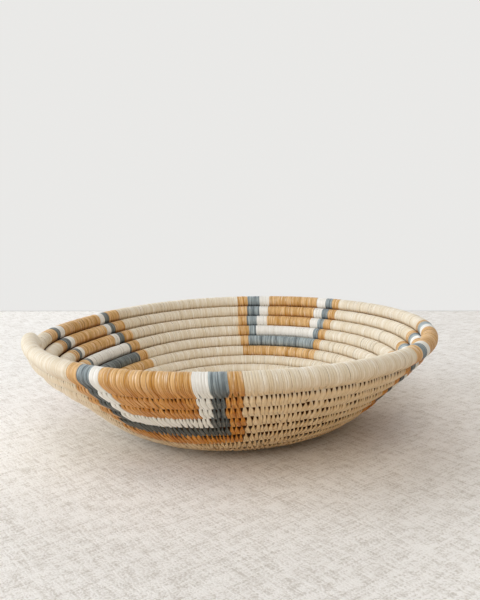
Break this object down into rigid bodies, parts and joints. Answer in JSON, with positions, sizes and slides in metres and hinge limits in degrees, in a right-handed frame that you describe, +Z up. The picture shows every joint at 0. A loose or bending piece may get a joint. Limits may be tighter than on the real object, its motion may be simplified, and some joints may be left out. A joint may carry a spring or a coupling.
{
  "type": "coiled basket bowl",
  "caption": "Shallow round basket bowl made of a grass coil wound in a spiral and wrapped in natural fibre, with stepped bands of tan, white and slate on its flaring wall.",
  "frame": {"origin": "on the spiral's axis, on the surface that the base stands on", "axes": "+Z up out of the bowl's mouth, -Y towards the camera of the picture, +X to its right"},
  "size_m": [0.2971, 0.2966, 0.076],
  "materials": {
    "natural": "matte",
    "tan": "matte",
    "white": "matte",
    "slate": "matte",
    "grass": "matte"
  },
  "bodies": {
    "root": {"foundation_coil": "grass", "wrap_natural_back_left_1": "natural", "wrap_natural_back_left_2": "natural", "wrap_natural_back_left_3": "natural", "wrap_natural_back_left_4": "natural", "wrap_natural_back_left_5": "natural", "wrap_natural_back_left_6": "natural", "wrap_natural_base": "natural", "wrap_natural_coil_end": "natural", "wrap_natural_front_right_1": "natural", "wrap_natural_front_right_2": "natural", "wrap_natural_front_right_3": "natural", "wrap_natural_front_right_4": "natural", "wrap_natural_front_right_5": "natural", "wrap_natural_front_right_6": "natural", "wrap_natural_left_front_2": "natural", "wrap_natural_left_front_3": "natural", "wrap_natural_left_front_4": "natural", "wrap_natural_left_front_5": "natural", "wrap_natural_left_front_6": "natural", "wrap_natural_right_back_1": "natural", "wrap_natural_right_back_2": "natural", "wrap_natural_right_back_3": "natural", "wrap_natural_right_back_4": "natural", "wrap_natural_right_back_5": "natural", "wrap_natural_right_back_6": "natural", "wrap_natural_row_7": "natural", "wrap_natural_row_8": "natural", "wrap_natural_row_9": "natural", "wrap_slate_back_5": "slate", "wrap_slate_front_5": "slate", "wrap_slate_left_5": "slate", "wrap_slate_right_5": "slate", "wrap_tan_back_1": "tan", "wrap_tan_back_2": "tan", "wrap_tan_back_3": "tan", "wrap_tan_back_6": "tan", "wrap_tan_front_1": "tan", "wrap_tan_front_2": "tan", "wrap_tan_front_3": "tan", "wrap_tan_front_6": "tan", "wrap_tan_left_1": "tan", "wrap_tan_left_2": "tan", "wrap_tan_left_3": "tan", "wrap_tan_left_6": "tan", "wrap_tan_right_1": "tan", "wrap_tan_right_2": "tan", "wrap_tan_right_3": "tan", "wrap_tan_right_6": "tan", "wrap_white_back_4": "white", "wrap_white_front_4": "white", "wrap_white_left_4": "white", "wrap_white_right_4": "white"}
  },
  "joints": []
}
